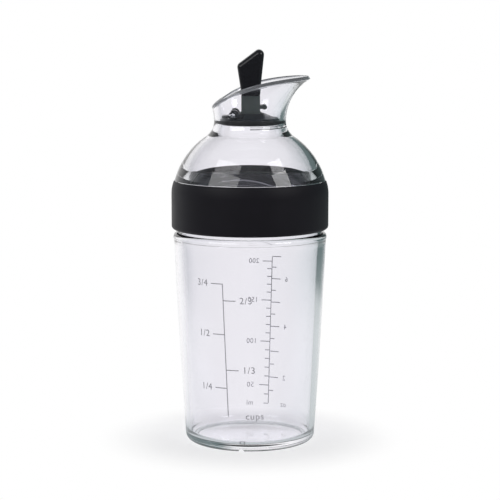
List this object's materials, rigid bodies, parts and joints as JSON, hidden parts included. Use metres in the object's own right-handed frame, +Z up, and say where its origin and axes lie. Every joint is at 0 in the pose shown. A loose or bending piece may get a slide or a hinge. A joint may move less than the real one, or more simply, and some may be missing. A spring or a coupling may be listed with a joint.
{
  "type": "salad dressing shaker bottle",
  "caption": "Clear tapered shaker cup with a black-banded screw-on dome lid, slanted pouring spout and hinged thumb-lever stopper.",
  "frame": {"origin": "centre of the foot ring, on the surface that the bottle stands on", "axes": "+Z up along the bottle's axis, +X towards the pouring tip, the lever tips back towards -X"},
  "size_m": [0.0688, 0.0688, 0.172],
  "materials": {
    "clear_plastic": "clear polished",
    "soft_black": "soft-touch satin",
    "hard_black": "satin moulded",
    "seal_black": "smooth silicone",
    "gasket_clear": "translucent silicone",
    "pin_steel": "drawn wire",
    "print_grey": "screen-printed ink"
  },
  "bodies": {
    "cup": {"cup": "clear_plastic"},
    "lid_seal": {"lid_gasket": "gasket_clear"},
    "lid": {"spout_dome": "clear_plastic", "grip_band": "soft_black", "hinge_pin": "pin_steel"},
    "stopper": {"stopper_plug": "hard_black", "plug_seal": "seal_black", "lever": "hard_black", "thumb_grip": "soft_black"}
  },
  "joints": [
    {"name": "lid_lift", "type": "slide", "parent": "cup", "child": "lid_seal", "axis": [0, 0, 1], "range_m": [0, 0.018]},
    {"name": "lid_turn", "type": "hinge", "parent": "lid_seal", "child": "lid", "pos_m": [0, 0, 0.1], "axis": [0, 0, 1], "range_deg": [0, 720]},
    {"name": "stopper_tilt", "type": "hinge", "parent": "lid", "child": "stopper", "pos_m": [-0.0068, 0, 0.14414], "axis": [0, -1, 0], "range_deg": [0, 70]}
  ],
  "couplings": [
    {"joint": "lid_lift", "follows": "lid_turn", "m_per_rad": 0.0014324}
  ]
}
